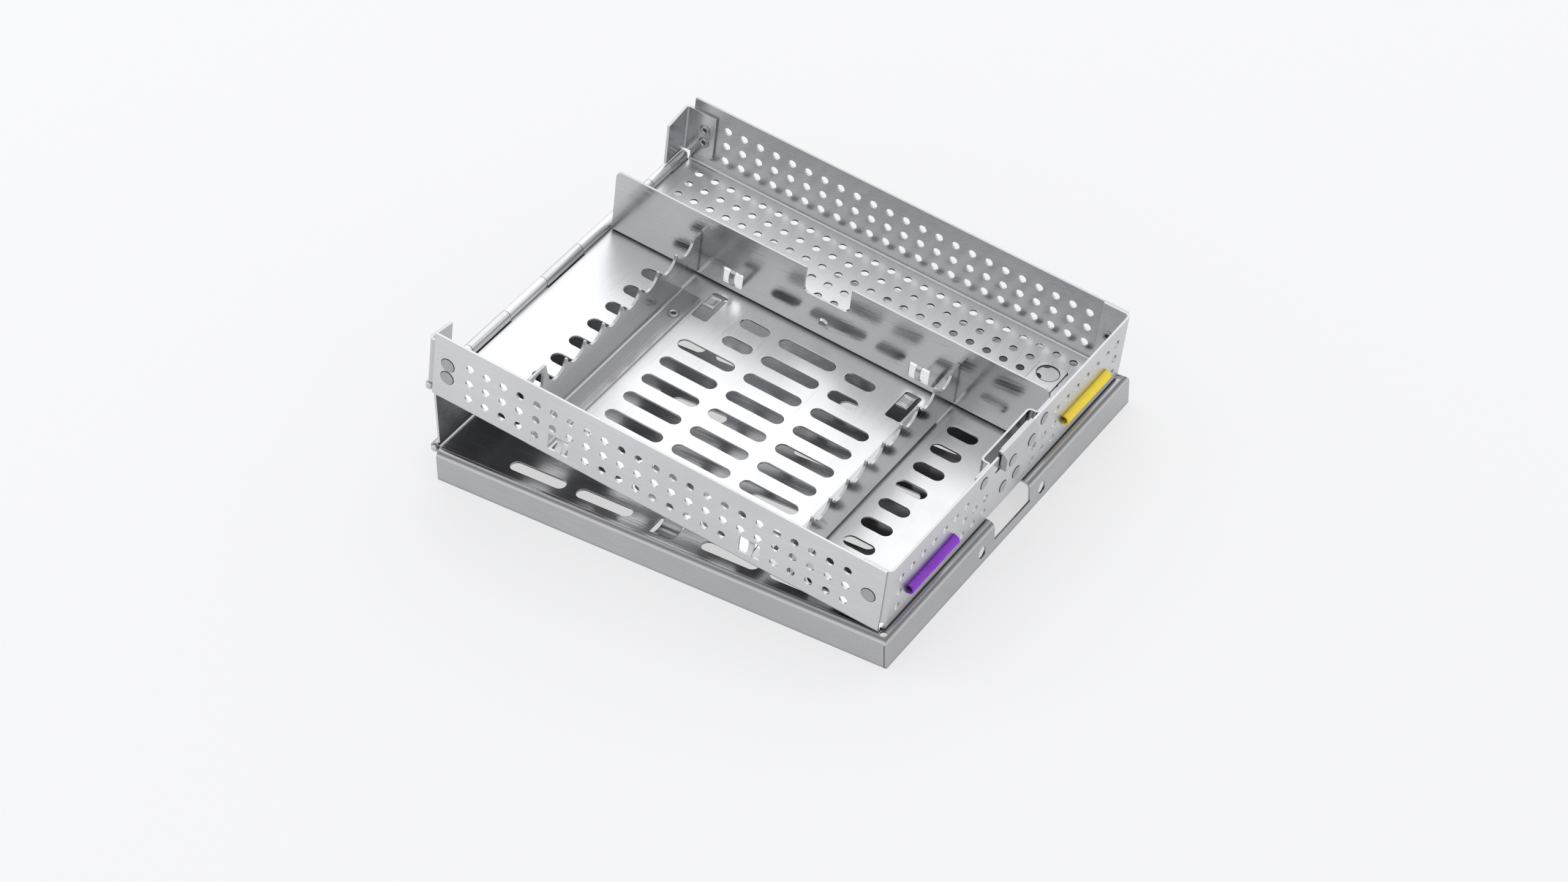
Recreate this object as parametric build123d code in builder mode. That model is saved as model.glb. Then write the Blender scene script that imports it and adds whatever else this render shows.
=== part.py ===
from build123d import *
import os
from math import asin, cos, degrees, sin, sqrt

os.makedirs("parts", exist_ok=True)

# Instrument cassette: a perforated tray, a folding lid and the hinged spine between them.
# It stands open: the lid is folded right round under the tray and stands on its rims, the spine
# stands up from the lid's left edge, and the tray hangs from the spine and leans on the lid.
# Lengths are in millimetres. In the tray's own frame x runs from the hinge edge to the latch wall,
# y from the front wall to the back wall and z up from the underside of the floor.

# Tray
sheet = 0.8
bend_inner = 1.2
tray_length = 185.0
tray_depth = 162.0
tray_height = 29.5
front_end_gap = 1.6
corner_flange = 11.0
corner_flange_foot = 5.0

# Perforation
hole_radius = 1.6
wall_columns = 23
wall_rows = 3
wall_row_foot = 7.2
wall_row_head = 8.3
latch_columns = 9
latch_hole_edge = 8.8
latch_hole_gap = 16.2
store_columns = 25
store_rows = 6
store_side_edge = 8.5
store_back_edge = 6.4
store_front_gap = 11.4

# Instrument places
place_count = 9
first_place = 8.1
last_place_gap = 10.3
centre_shift = 0.4
slot_width = 5.4
long_slot = 23.4
short_slot = 12.0
slot_column = 28.05
short_slot_shift = 5.8
oval_offset = 64.8

# Partition and combs
bay_share = 0.674
partition_foot = 8.0
partition_left = 0.6
partition_gap = 1.9
partition_corner = 2.6
notch_width = 19.0
notch_depth = 11.1
notch_corner = 2.0
notch_shift = 0.8
dimple_radius = 2.3
dimple_height = 0.8
dimple_taper = 35.0
dimple_z = 8.0
comb_offset = 53.8
comb_sheet = 1.0
comb_top_gap = 8.0
comb_foot = 9.4
comb_foot_gap = 10.6
comb_front_gap = 1.2
comb_bend = 1.0
scallop_tip = 0.6
scallop_depth = 4.9
ear_front = 1.3
ear_back = 11.6
ear_corner = 0.8
ear_rise = 7.1
ear_window = 6.8
ear_window_y = 7.2
ear_band = 1.4
comb_rivet_front = 21.0
comb_rivet_gap = 12.6
comb_rivet_x = 6.0

# Spring clips and floor tongues
clip_offset = 39.3
clip_width = 8.4
clip_height = 7.0
clip_bottom = 4.3
clip_strip = 2.0
clip_bow = 1.3
tongue_offset = 40.9
tongue_window = 6.5
tongue_reach = 15.3
tongue_corner = 1.0
tongue_width = 4.5
tongue_length = 9.4
tongue_slope = 3.4
tongue_rise = 1.6
tongue_back_gap = 3.6
tongue_front = 3.4

# Hinges
pin_radius = 1.25
pin_clearance = 0.05
hinge_gap = 0.1
knuckle_gap = 0.2
end_knuckle = 10.0
second_knuckle = 12.0
knuckle_count = 6
pin_margin = 1.0
leaf_clearance = 0.8
lid_pin_drop = 1.3

# Lid
closed_gap = 2.3
lid_flange = 12.6
lid_bend_inner = 2.0
lid_side_gap = 0.5
lid_latch_gap = 0.2
lid_corner_gap = 0.1
lid_slot = 23.0
lid_slot_width = 5.0
lid_slot_near = 26.0
lid_slot_far = 54.0
lid_slot_rows = 6
lid_tab_width = 7.5
lid_tab_length = 8.5
lid_tab_slit = 1.2
lid_tab_bow = 1.6
lid_relief = 1.3
lid_slot_edge = 7.5
window_width = 24.0
window_bar = 4.2
window_reach = 5.0
rivet_window_radius = 2.45

# Corner brackets
bracket_sheet = 1.0
bracket_bottom = 5.0
bracket_drop = 4.5
bracket_reach = 10.2
bracket_wing = 12.9
bracket_slope = 2.0
bracket_overhang = 3.2
bracket_bend = 0.8

# Latch in the middle of the latch wall
latch_shift = 0.5
guard_half = 15.6
guard_bend = 1.1
guard_flange = 9.2
guard_depth = 4.9
guard_height = 11.0
spring_sheet = 0.5
spring_width = 20.0
spring_foot = 5.6
button_length = 21.0
button_drop = 5.8
button_rise = 1.7
button_reach = 2.8
button_chamfer = 2.2
button_play = 0.8
slit_height = 1.3
slit_reach = 1.4

# Colour sleeves on bars between two slots of the latch wall
sleeve_radius = 2.2
sleeve_bore = 1.45
sleeve_z = 11.2
sleeve_offset = 0.35
sleeve_front_gap = 5.6
sleeve_back_gap = 6.4
sleeve_columns = 6
bar_height = 1.7
bar_slot_gap = 0.15

# Rivets
rivet_radius = 2.6
latch_rivet_radius = 2.2
rivet_head = 0.25
rivet_shank = 1.5
rivet_eye = 0.9
rivet_roll = 0.6
rivet_lip = 0.4
bracket_rivet_x = 5.9
bracket_rivet_gap = 5.9
corner_rivet_inset = 7.0
corner_rivet_drop = 14.0
guard_rivet_gap = 40.4
guard_rivet_drop = 5.4
spring_rivet_gap = 8.8
spring_rivet_z = 10.4
button_rivet_gap = 12.6
button_rivet_drop = 3.3
partition_rivet_gap = 62.0

# Marker plate with a round window in the corner of the store
marker_inset_x = 20.2
marker_inset_y = 17.2
marker_window = 4.4
marker_plate_x = 10.8
marker_plate_back = 4.9
marker_plate_front = 9.0
marker_corner = 1.0
marker_height = 0.4

# Open pose
rest_gap = 0.1

# Sizes that follow from the ones above
bend_outer = bend_inner + sheet
lid_bend = lid_bend_inner + sheet
closed_height = tray_height + closed_gap
floor_centre_x = tray_length / 2 - centre_shift
partition_y = tray_depth * bay_share
latch_y = tray_depth / 2 + latch_shift
bore_radius = pin_radius + pin_clearance
knuckle_radius = bore_radius + sheet
hinge_x = -(knuckle_radius + hinge_gap)
hinge_z = knuckle_radius
pin_spacing = closed_height - hinge_z - lid_pin_drop
lid_axis_z = lid_flange - lid_pin_drop
lid_reach = tray_length - hinge_x + lid_latch_gap + sheet
floor_left = hinge_gap + leaf_clearance / 2
leaf_cutback = knuckle_radius + leaf_clearance
wall_end = tray_length - front_end_gap
lid_front = -(lid_side_gap + sheet)
lid_back = tray_depth - lid_front
lid_left = knuckle_radius + leaf_clearance / 2
inner_wall = tray_length - sheet
floor_right = tray_length - bend_outer
hinge_start = bend_outer
hinge_end = tray_depth - bend_outer
pin_length = hinge_end - hinge_start + 2 * pin_margin
comb_right_x = floor_centre_x + comb_offset
comb_left_x = floor_centre_x - comb_offset
guard_plate_x = tray_length - guard_depth + sheet
guard_bottom = tray_height - guard_height
guard_rivet_z = tray_height - guard_rivet_drop
button_rivet_z = tray_height - button_rivet_drop
button_bottom = tray_height - button_drop
button_top = tray_height + button_rise
lid_face = lid_flange - sheet
lid_mid_y = tray_depth / 2
window_z = guard_rivet_z - (closed_height - lid_flange)
sleeve_x = tray_length + sleeve_offset
rivet_top = button_rivet_z + latch_rivet_radius
comb_top = tray_height - comb_top_gap
comb_height = comb_top - sheet
comb_foot_end = partition_y - comb_foot_gap
tongue_back = partition_y - tongue_back_gap
marker_x = tray_length - marker_inset_x
marker_y = tray_depth - marker_inset_y

# The tilt at which the bend under the latch wall comes to rest on the lid
bend_run = tray_length - bend_outer - hinge_x
bend_rise = bend_outer - hinge_z
reach = sqrt(bend_run**2 + bend_rise**2)
drop = lid_axis_z + pin_spacing - (lid_flange + rest_gap + bend_outer)
lean = asin(drop / reach) + asin(bend_rise / reach)
tilt = degrees(lean)

# The origin is at the middle of the whole outline, on the table
pin_to_edge = (tray_length - hinge_x) * cos(lean) - hinge_z * sin(lean)
rivet_edge = (button_reach + rivet_head) * cos(lean) + rivet_top * sin(lean)
button_edge = button_reach * cos(lean) + (button_top - button_chamfer) * sin(lean)
right_edge = max(rivet_edge, button_edge)
edge_x = (pin_to_edge + knuckle_radius - right_edge) / 2
axis_x = edge_x - pin_to_edge
front_y = -tray_depth / 2

tray_x = axis_x - hinge_x * cos(lean) - hinge_z * sin(lean)
tray_z = lid_axis_z + pin_spacing + hinge_x * sin(lean) - hinge_z * cos(lean)
tray_frame = Location((tray_x, front_y, tray_z), (0, tilt, 0))
lid_frame = Location((axis_x, front_y, 0))
spine_frame = Location((axis_x, front_y, lid_axis_z))


def plan(frame, z=0):
    """Sketch plane seen from above, at height z of a frame."""
    return Plane(frame * Plane.XY.offset(z).location)


def front_view(frame, y=0):
    """Sketch plane with x across and z up, seen from the front, at depth y of a frame."""
    return Plane(frame * Plane.XZ.offset(-y).location)


def side_view(frame, x=0):
    """Sketch plane with y across and z up, seen from the latch side, at x of a frame."""
    return Plane(frame * Plane.YZ.offset(x).location)


def end_view(frame, x=0):
    """Sketch plane with z across and y up, seen from the hinge side, at x of a frame."""
    return Plane(frame * Plane((x, 0, 0), x_dir=(0, 0, 1), z_dir=(-1, 0, 0)).location)


def from_floor(x, y):
    """Place of a rivet driven up through the tray floor."""
    return tray_frame * Pos(x, y, 0)


def from_front(x, z):
    """Place of a rivet driven in through the front wall."""
    return tray_frame * Pos(x, 0, z) * Rot(-90, 0, 0)


def from_back(x, z):
    """Place of a rivet driven in through the back wall."""
    return tray_frame * Pos(x, tray_depth, z) * Rot(90, 0, 0)


def from_latch(y, z, out=0):
    """Place of a rivet driven in through the latch wall, or from further out."""
    return tray_frame * Pos(tray_length + out, y, z) * Rot(0, -90, 0)


def folded_edge(edge, inward, height, outer, base=0, turn=1, thickness=sheet):
    """Outline of an upright sheet and its bend into a flat one, seen along the fold."""
    inner = outer - thickness
    outer_mid = outer * (1 - sqrt(0.5))
    inner_mid = thickness + inner * (1 - sqrt(0.5))

    def at(across, up):
        return (edge + inward * across, base + turn * up)

    with BuildSketch() as outline:
        with BuildLine():
            Polyline(at(thickness, outer), at(thickness, height), at(0, height), at(0, outer))
            ThreePointArc(at(0, outer), at(outer_mid, outer_mid), at(outer, 0))
            Line(at(outer, 0), at(outer, thickness))
            ThreePointArc(
                at(outer, thickness), at(inner_mid, inner_mid), at(thickness, outer)
            )
        make_face()
    return outline.sketch


def bent_strip(points, radius, thickness, side):
    """Outline of a strip that is bent along a line of points."""
    with BuildSketch() as outline:
        with BuildLine() as path:
            FilletPolyline(*points, radius=radius)
            offset(amount=thickness, side=side)
        make_face()
    return outline.sketch


def bowed_strip(low, high, face, bow):
    """Outline of a strip that bows out of a sheet between two heights."""
    middle = (low + high) / 2
    with BuildSketch() as outline:
        with BuildLine():
            ThreePointArc((face, low), (face + bow, middle), (face, high))
            Line((face, high), (face + sheet, high))
            ThreePointArc(
                (face + sheet, high), (face + sheet + bow, middle), (face + sheet, low)
            )
            Line((face + sheet, low), (face, low))
        make_face()
    return outline.sketch


def knuckle(axis, tail_low, tail_high):
    """Outline of a knuckle rolled round an axis, with a tail between two opposite corners."""
    with BuildSketch() as outline:
        with Locations(axis):
            Circle(knuckle_radius)
        with Locations(((tail_low[0] + tail_high[0]) / 2, (tail_low[1] + tail_high[1]) / 2)):
            Rectangle(tail_high[0] - tail_low[0], tail_high[1] - tail_low[1])
        with Locations(axis):
            Circle(bore_radius, mode=Mode.SUBTRACT)
    return outline.sketch


def eyelet_rivet(grip):
    """Half outline of a rivet: flat head below its place, rolled eye above the grip."""
    lip = rivet_radius - rivet_lip
    with BuildSketch() as outline:
        with BuildLine():
            Polyline(
                (0, -rivet_head),
                (rivet_radius, -rivet_head),
                (rivet_radius, 0),
                (rivet_shank, 0),
                (rivet_shank, grip),
                (lip, grip),
            )
            ThreePointArc((lip, grip), ((lip + rivet_eye) / 2, grip + rivet_roll), (rivet_eye, grip))
            Polyline((rivet_eye, grip), (rivet_eye, grip / 2), (0, grip / 2), (0, -rivet_head))
        make_face()
    return outline.sketch


def flush_rivet(radius, grip):
    """Half outline of a rivet with a flat head, hammered flush at the end of its grip."""
    with BuildSketch() as outline:
        with BuildLine():
            Polyline(
                (0, -rivet_head),
                (radius, -rivet_head),
                (radius, 0),
                (rivet_shank, 0),
                (rivet_shank, grip),
                (0, grip),
                close=True,
            )
        make_face()
    return outline.sketch


# Knuckles from front to back: long ones, then two short ones; every second one is the spine's
long_knuckle = (hinge_end - hinge_start - end_knuckle - second_knuckle) / knuckle_count
breaks = [hinge_start + step * long_knuckle for step in range(knuckle_count + 1)]
breaks = breaks + [hinge_end - end_knuckle, hinge_end]
spans = [
    (start + knuckle_gap / 2, end - knuckle_gap / 2) for start, end in zip(breaks, breaks[1:])
]
outer_spans = spans[0::2]
spine_spans = spans[1::2]

# Holes shared by several walls
hole_pitch = (tray_length - 2 * store_side_edge) / (store_columns - 1)
wall_row_pitch = (tray_height - wall_row_foot - wall_row_head) / (wall_rows - 1)
latch_pitch = (tray_depth / 2 - latch_hole_gap - latch_hole_edge) / (latch_columns - 1)
place_pitch = (partition_y - last_place_gap - first_place) / (place_count - 1)
floor_rows = [first_place + place * place_pitch for place in range(place_count)]
inner_rows = floor_rows[2:-2]
outer_rows = floor_rows[:2] + floor_rows[-2:]
wall_x = [
    floor_centre_x + (column - wall_columns // 2) * hole_pitch for column in range(wall_columns)
]
wall_z = [wall_row_foot + row * wall_row_pitch for row in range(wall_rows)]
clip_centres = [floor_centre_x - clip_offset, floor_centre_x + clip_offset]
clip_middle = clip_bottom + clip_height / 2
clip_reach = clip_width / 2 + hole_radius
wall_holes = [(x, z) for x in wall_x for z in wall_z]
front_holes = [
    (x, z)
    for x, z in wall_holes
    if z > clip_bottom + clip_height or min(abs(x - clip) for clip in clip_centres) > clip_reach
]
bracket_rivets_z = [(tray_height + way * bracket_rivet_gap) / 2 for way in (-1, 1)]
corner_rivet_x = tray_length - corner_rivet_inset
corner_rivet_z = tray_height - corner_rivet_drop
wall_rivets = [(bracket_rivet_x, z) for z in bracket_rivets_z] + [(corner_rivet_x, corner_rivet_z)]
comb_rivet_places = [
    (floor_centre_x + side * (comb_offset - comb_rivet_x + comb_sheet), y)
    for side in (-1, 1)
    for y in (comb_rivet_front, comb_foot_end - comb_rivet_gap)
]
partition_rivet_y = partition_y + (partition_foot + bend_outer) / 2
partition_rivet_places = [
    (floor_centre_x + step * partition_rivet_gap, partition_rivet_y) for step in (-1, 0, 1)
]
store_front_row = partition_y + store_front_gap
store_row_pitch = (tray_depth - store_back_edge - store_front_row) / (store_rows - 1)
store_x = [
    floor_centre_x + (column - store_columns // 2) * hole_pitch for column in range(store_columns)
]
store_y = [store_front_row + row * store_row_pitch for row in range(store_rows)]
store_holes = [(x, y) for x in store_x for y in store_y]

# Tray floor with its instrument slots, store holes and sprung tongues
tongue_centres = [floor_centre_x - tongue_offset, floor_centre_x + tongue_offset]
tongue_ends = [(tongue_back, -1), (tongue_front, 1)]
with BuildPart() as tray_floor:
    with BuildSketch(plan(tray_frame)):
        with Locations(((floor_left + floor_right) / 2, tray_depth / 2)):
            Rectangle(floor_right - floor_left, tray_depth - 2 * bend_outer)
        with Locations(*store_holes):
            Circle(hole_radius, mode=Mode.SUBTRACT)
        with Locations(*comb_rivet_places, *partition_rivet_places):
            Circle(rivet_shank, mode=Mode.SUBTRACT)
        with Locations(*[(floor_centre_x, y) for y in floor_rows]):
            SlotOverall(long_slot, slot_width, mode=Mode.SUBTRACT)
        for side in (-1, 1):
            column = floor_centre_x + side * slot_column
            short_column = column - side * short_slot_shift
            with Locations(*[(column, y) for y in inner_rows]):
                SlotOverall(long_slot, slot_width, mode=Mode.SUBTRACT)
            with Locations(*[(short_column, y) for y in outer_rows]):
                SlotOverall(short_slot, slot_width, mode=Mode.SUBTRACT)
            with Locations(*[(floor_centre_x + side * oval_offset, y) for y in floor_rows]):
                SlotOverall(short_slot, slot_width, mode=Mode.SUBTRACT)
        for root, way in tongue_ends:
            with Locations(*[(x, root + way * tongue_reach / 2) for x in tongue_centres]):
                RectangleRounded(
                    tongue_window, tongue_reach, tongue_corner, mode=Mode.SUBTRACT
                )
    extrude(amount=sheet)
    for root, way in tongue_ends:
        knee = root + way * tongue_slope
        tip = root + way * tongue_length
        for x in tongue_centres:
            with BuildSketch(side_view(tray_frame, x - tongue_width / 2)):
                with BuildLine():
                    Polyline(
                        (root, 0),
                        (root, sheet),
                        (knee, sheet + tongue_rise),
                        (tip, sheet + tongue_rise),
                        (tip, tongue_rise),
                        (knee, tongue_rise),
                        close=True,
                    )
                make_face()
            extrude(amount=tongue_width)
tray_floor.part.label = "tray_floor"

# Knuckles rolled out of the floor's left edge
with BuildPart() as tray_knuckles:
    for start, end in outer_spans:
        with BuildSketch(front_view(tray_frame, start)):
            add(knuckle((hinge_x, hinge_z), (hinge_x, 0), (floor_left, sheet)))
        extrude(amount=start - end)
tray_knuckles.part.label = "tray_knuckles"

# Front wall with its bend, its rows of holes and two spring clips
with BuildPart() as tray_front_wall:
    with BuildSketch(side_view(tray_frame, 0)):
        add(folded_edge(0, 1, tray_height, bend_outer))
    extrude(amount=wall_end)
    with BuildSketch(front_view(tray_frame, 0)):
        with Locations(*front_holes):
            Circle(hole_radius)
        with Locations(*wall_rivets):
            Circle(rivet_shank)
        with Locations(*[(x, clip_middle) for x in clip_centres]):
            Rectangle(clip_width, clip_height)
    extrude(amount=-sheet, mode=Mode.SUBTRACT)
    for x in clip_centres:
        with BuildSketch(side_view(tray_frame, x - clip_strip / 2)):
            add(bowed_strip(clip_bottom, clip_bottom + clip_height, 0, clip_bow))
        extrude(amount=clip_strip)
tray_front_wall.part.label = "tray_front_wall"

# Back wall with its bend and its rows of holes
with BuildPart() as tray_back_wall:
    with BuildSketch(side_view(tray_frame, 0)):
        add(folded_edge(tray_depth, -1, tray_height, bend_outer))
    extrude(amount=wall_end)
    with BuildSketch(front_view(tray_frame, tray_depth - sheet)):
        with Locations(*wall_holes):
            Circle(hole_radius)
        with Locations(*wall_rivets):
            Circle(rivet_shank)
    extrude(amount=-sheet, mode=Mode.SUBTRACT)
tray_back_wall.part.label = "tray_back_wall"

# Latch wall: its upper part turns both corners, and a bar between two slots carries each sleeve
sleeve_front = latch_hole_edge + sleeve_front_gap
sleeve_length = sleeve_columns * latch_pitch - sleeve_front_gap - sleeve_back_gap
sleeve_starts = [sleeve_front, tray_depth - sleeve_front - sleeve_length]
bar_slot = sleeve_radius + bar_slot_gap - bar_height / 2
bar_slot_shift = (bar_height + bar_slot) / 2
latch_notch = button_length + 2 * button_play
slit_z = button_bottom - slit_height / 2
notch_top = tray_height + slit_height
latch_wall_y = [latch_hole_edge + step * latch_pitch for step in range(latch_columns)]
top_row_y = latch_wall_y[:-2]
low_row_y = latch_wall_y[:1] + latch_wall_y[-3:]
near_latch_holes = [(y, z) for y in low_row_y for z in wall_z[:-1]]
near_latch_holes = near_latch_holes + [(y, wall_z[-1]) for y in top_row_y]
latch_holes = near_latch_holes + [(tray_depth - y, z) for y, z in near_latch_holes]
guard_rivet_places = [
    (latch_y - guard_rivet_gap / 2, guard_rivet_z),
    (latch_y + guard_rivet_gap / 2, guard_rivet_z),
]
spring_rivet_places = [
    (latch_y - spring_rivet_gap / 2, spring_rivet_z),
    (latch_y + spring_rivet_gap / 2, spring_rivet_z),
]
button_rivet_places = [
    (latch_y - button_rivet_gap / 2, button_rivet_z),
    (latch_y + button_rivet_gap / 2, button_rivet_z),
]
corner_points = [
    (tray_length - corner_flange, sheet),
    (tray_length, sheet),
    (tray_length, tray_depth - sheet),
    (tray_length - corner_flange, tray_depth - sheet),
]
with BuildPart() as tray_latch_wall:
    with BuildSketch(front_view(tray_frame, sheet + bend_outer)):
        add(folded_edge(tray_length, -1, corner_flange_foot, bend_outer))
    extrude(amount=-(tray_depth - 2 * (sheet + bend_outer)))
    with BuildSketch(plan(tray_frame, corner_flange_foot)):
        add(bent_strip(corner_points, bend_outer, sheet, Side.LEFT))
    extrude(amount=tray_height - corner_flange_foot)
    with BuildSketch(side_view(tray_frame, inner_wall)):
        with Locations(*latch_holes):
            Circle(hole_radius)
        with Locations(*guard_rivet_places, *spring_rivet_places):
            Circle(rivet_shank)
        with Locations((latch_y, (notch_top + slit_z) / 2)):
            Rectangle(latch_notch, notch_top - slit_z)
        with Locations((latch_y, slit_z)):
            SlotOverall(latch_notch + 2 * slit_reach, slit_height)
        for start in sleeve_starts:
            middle = start + sleeve_length / 2
            with Locations(
                (middle, sleeve_z - bar_slot_shift), (middle, sleeve_z + bar_slot_shift)
            ):
                Rectangle(sleeve_length + 2 * bar_slot_gap, bar_slot)
    extrude(amount=sheet, mode=Mode.SUBTRACT)
    with BuildSketch(front_view(tray_frame, 0)):
        with Locations((corner_rivet_x, corner_rivet_z)):
            Circle(rivet_shank)
    extrude(amount=-tray_depth, mode=Mode.SUBTRACT)
tray_latch_wall.part.label = "tray_latch_wall"

# Partition between the instrument bay and the store
partition_right = wall_end - partition_gap + partition_left
partition_middle = (partition_left + partition_right) / 2
partition_lap = sheet + bend_outer
with BuildPart() as partition:
    with BuildSketch(front_view(tray_frame, partition_y)):
        with Locations((partition_middle, (partition_lap + tray_height) / 2)):
            Rectangle(partition_right - partition_left, tray_height - partition_lap)
        fillet(vertices().sort_by(Axis.Y)[-2:], radius=partition_corner)
        with Locations((floor_centre_x - notch_shift, tray_height)):
            RectangleRounded(notch_width, 2 * notch_depth, notch_corner, mode=Mode.SUBTRACT)
        with Locations(*[(x, clip_middle) for x in clip_centres]):
            Rectangle(clip_width, clip_height, mode=Mode.SUBTRACT)
    extrude(amount=-sheet)
    with BuildSketch(side_view(tray_frame, partition_left)):
        add(folded_edge(partition_y, 1, clip_bottom - sheet, bend_outer, sheet))
        with Locations((partition_y + (bend_outer + partition_foot) / 2, sheet * 1.5)):
            Rectangle(partition_foot - bend_outer, sheet)
    extrude(amount=partition_right - partition_left)
    with BuildSketch(plan(tray_frame, sheet)):
        with Locations(*partition_rivet_places):
            Circle(rivet_shank)
    extrude(amount=sheet, mode=Mode.SUBTRACT)
    for x in clip_centres:
        with BuildSketch(side_view(tray_frame, x - clip_strip / 2)):
            add(bowed_strip(clip_bottom, clip_bottom + clip_height, partition_y, -clip_bow))
        extrude(amount=clip_strip)
    with BuildSketch(front_view(tray_frame, partition_y)):
        with Locations((floor_centre_x - notch_shift, dimple_z)):
            Circle(dimple_radius)
    extrude(amount=dimple_height, taper=dimple_taper)
partition.part.label = "partition"

# Rivets that hold the partition's foot
with BuildPart() as partition_rivets:
    for place in [from_floor(*spot) for spot in partition_rivet_places]:
        with BuildSketch(front_view(place)):
            add(flush_rivet(rivet_radius, 2 * sheet))
        revolve(axis=place.z_axis)
partition_rivets.part.label = "partition_rivets"

# Left comb, with an arched ear over its first place
comb_start = sheet + comb_front_gap
comb_end = partition_y - hinge_gap
comb_fold = comb_bend + comb_sheet
comb_foot_y = (comb_start + comb_foot_end) / 2
comb_open_y = (comb_foot_end + comb_end) / 2
scallop_radius = (place_pitch - scallop_tip) / 2
scallop_z = comb_top - scallop_depth + scallop_radius
scallop_low = comb_top - scallop_depth
first_tip = floor_rows[0] + place_pitch / 2
ear_top = comb_top + ear_rise
ear_window_high = ear_top - ear_band
comb_left_rivets = comb_rivet_places[:2]
comb_right_rivets = comb_rivet_places[2:]
with BuildPart() as left_comb:
    with BuildSketch(front_view(tray_frame, comb_start)):
        add(folded_edge(comb_left_x - comb_sheet, 1, comb_height, comb_fold, sheet, 1, comb_sheet))
    extrude(amount=comb_start - comb_end)
    with BuildSketch(side_view(tray_frame, comb_left_x - comb_sheet)):
        with BuildLine():
            Polyline(
                (comb_start, scallop_low),
                (ear_front, ear_top),
                (ear_back, ear_top),
                (first_tip, comb_top),
                (first_tip, scallop_low),
                close=True,
            )
        make_face()
        fillet(vertices().sort_by(Axis.Y)[-2:], radius=ear_corner)
    extrude(amount=comb_sheet)
    with BuildSketch(side_view(tray_frame, comb_left_x - comb_sheet)):
        with Locations(*[(y, scallop_z) for y in floor_rows[1:]]):
            Circle(scallop_radius)
        with Locations((ear_window_y, (scallop_low + ear_window_high) / 2)):
            SlotOverall(ear_window_high - scallop_low, ear_window, rotation=90)
    extrude(amount=comb_sheet, mode=Mode.SUBTRACT)
    with BuildSketch(plan(tray_frame, sheet)):
        with Locations((comb_left_x - comb_sheet + comb_fold / 2, comb_open_y)):
            Rectangle(comb_fold, comb_end - comb_foot_end)
    extrude(amount=comb_fold, mode=Mode.SUBTRACT)
    with BuildSketch(plan(tray_frame, sheet)):
        with Locations((comb_left_x - comb_sheet + (comb_fold + comb_foot) / 2, comb_foot_y)):
            Rectangle(comb_foot - comb_fold, comb_foot_end - comb_start)
        with Locations(*comb_left_rivets):
            Circle(rivet_shank, mode=Mode.SUBTRACT)
    extrude(amount=comb_sheet)
left_comb.part.label = "left_comb"

# Right comb
with BuildPart() as right_comb:
    with BuildSketch(front_view(tray_frame, comb_start)):
        add(folded_edge(comb_right_x + comb_sheet, -1, comb_height, comb_fold, sheet, 1, comb_sheet))
    extrude(amount=comb_start - comb_end)
    with BuildSketch(side_view(tray_frame, comb_right_x)):
        with Locations(*[(y, scallop_z) for y in floor_rows]):
            Circle(scallop_radius)
    extrude(amount=comb_sheet, mode=Mode.SUBTRACT)
    with BuildSketch(plan(tray_frame, sheet)):
        with Locations((comb_right_x + comb_sheet - comb_fold / 2, comb_open_y)):
            Rectangle(comb_fold, comb_end - comb_foot_end)
    extrude(amount=comb_fold, mode=Mode.SUBTRACT)
    with BuildSketch(plan(tray_frame, sheet)):
        with Locations((comb_right_x + comb_sheet - (comb_fold + comb_foot) / 2, comb_foot_y)):
            Rectangle(comb_foot - comb_fold, comb_foot_end - comb_start)
        with Locations(*comb_right_rivets):
            Circle(rivet_shank, mode=Mode.SUBTRACT)
    extrude(amount=comb_sheet)
right_comb.part.label = "right_comb"

# Rivets that hold the combs' feet
with BuildPart() as comb_rivets:
    for place in [from_floor(*spot) for spot in comb_rivet_places]:
        with BuildSketch(front_view(place)):
            add(eyelet_rivet(sheet + comb_sheet))
        revolve(axis=place.z_axis)
comb_rivets.part.label = "comb_rivets"

# Angle brackets at both corners of the hinge side
bracket_top = tray_height - bracket_drop
bracket_height = bracket_top - bracket_bottom
bracket_fold = bracket_bend + bracket_sheet
front_bracket_points = [
    (bracket_reach, sheet),
    (-bracket_overhang, sheet),
    (-bracket_overhang, sheet + bracket_wing),
]
back_bracket_points = [(x, tray_depth - y) for x, y in front_bracket_points]
with BuildPart() as front_corner_bracket:
    with BuildSketch(plan(tray_frame, bracket_bottom)):
        add(bent_strip(front_bracket_points, bracket_fold, bracket_sheet, Side.RIGHT))
    extrude(amount=bracket_height)
    with BuildSketch(front_view(tray_frame, sheet)):
        with Locations(*[(bracket_rivet_x, z) for z in bracket_rivets_z]):
            Circle(rivet_shank)
    extrude(amount=-bracket_sheet, mode=Mode.SUBTRACT)
    with BuildSketch(side_view(tray_frame, -bracket_overhang)):
        with BuildLine():
            Polyline(
                (sheet + bracket_fold, bracket_top),
                (sheet + bracket_wing, bracket_top),
                (sheet + bracket_wing, bracket_top - bracket_slope),
                close=True,
            )
        make_face()
    extrude(amount=bracket_sheet, mode=Mode.SUBTRACT)
front_corner_bracket.part.label = "front_corner_bracket"

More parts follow.
